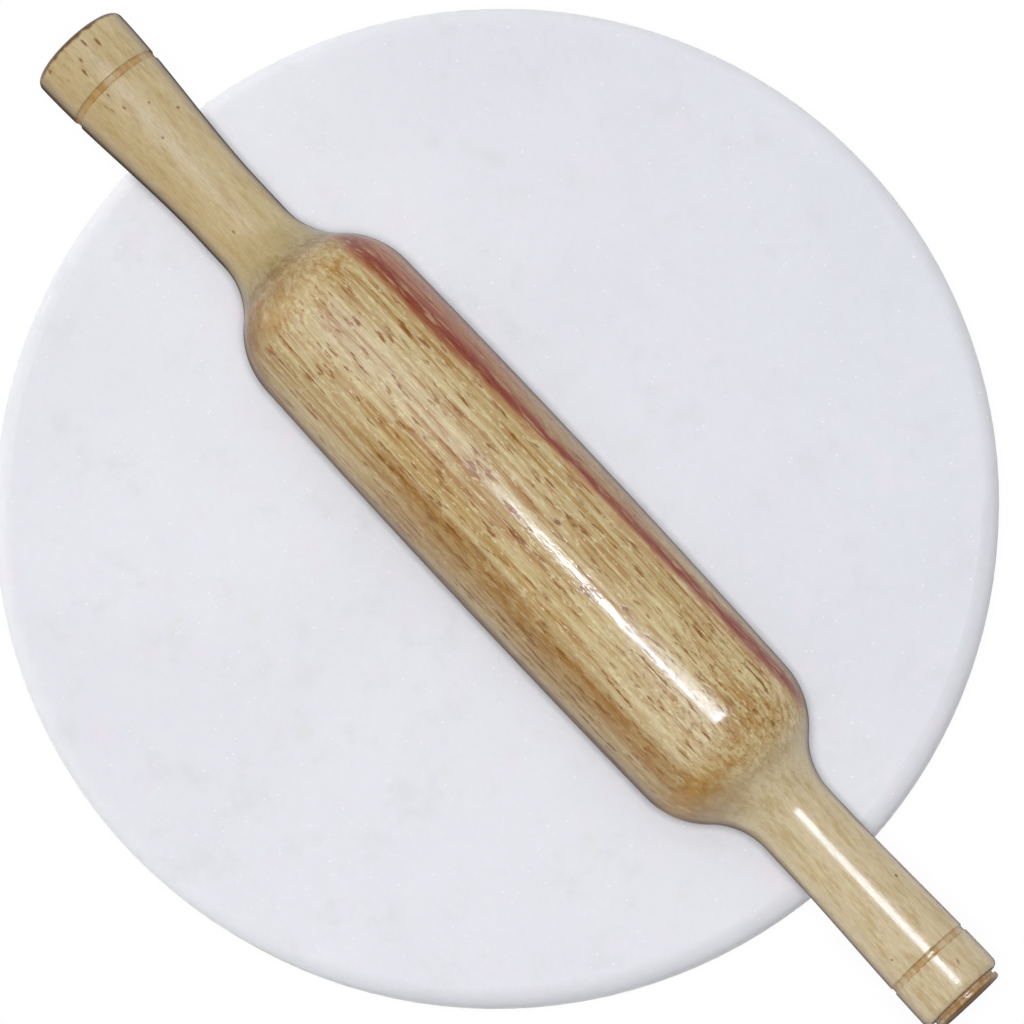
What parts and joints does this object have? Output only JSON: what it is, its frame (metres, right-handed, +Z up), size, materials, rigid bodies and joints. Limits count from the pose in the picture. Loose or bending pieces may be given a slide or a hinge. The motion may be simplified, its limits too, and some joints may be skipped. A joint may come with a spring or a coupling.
{
  "type": "chakla rolling board",
  "caption": "Round marble rolling board on small bun feet with rubber pads, and a one-piece turned wooden rolling pin that lies across it and lifts off.",
  "frame": {"origin": "on the table plane, under the middle of the rolling pin's whole length; the board's own centre is 9.5 mm towards -X", "axes": "+Z up from the table; +X along the rolling pin towards its nearly straight handle with the turned stub; +Y completes the right-handed frame"},
  "size_m": [0.297, 0.23, 0.0756],
  "materials": {
    "marble": "honed and polished white marble",
    "wood": "turned pale hardwood under clear gloss varnish",
    "resin": "cured stone adhesive",
    "rubber": "matt anti-slip rubber"
  },
  "bodies": {
    "chakla": {"board": "marble", "foot_1": "marble", "foot_2": "marble", "foot_3": "marble", "resin_bed_1": "resin", "resin_bed_2": "resin", "resin_bed_3": "resin", "rubber_pad_1": "rubber", "rubber_pad_2": "rubber", "rubber_pad_3": "rubber"},
    "belan": {"rolling_pin": "wood"}
  },
  "joints": [
    {"name": "belan_lift", "type": "slide", "parent": "chakla", "child": "belan", "axis": [0, 0, 1], "range_m": [0, 0.15]}
  ]
}
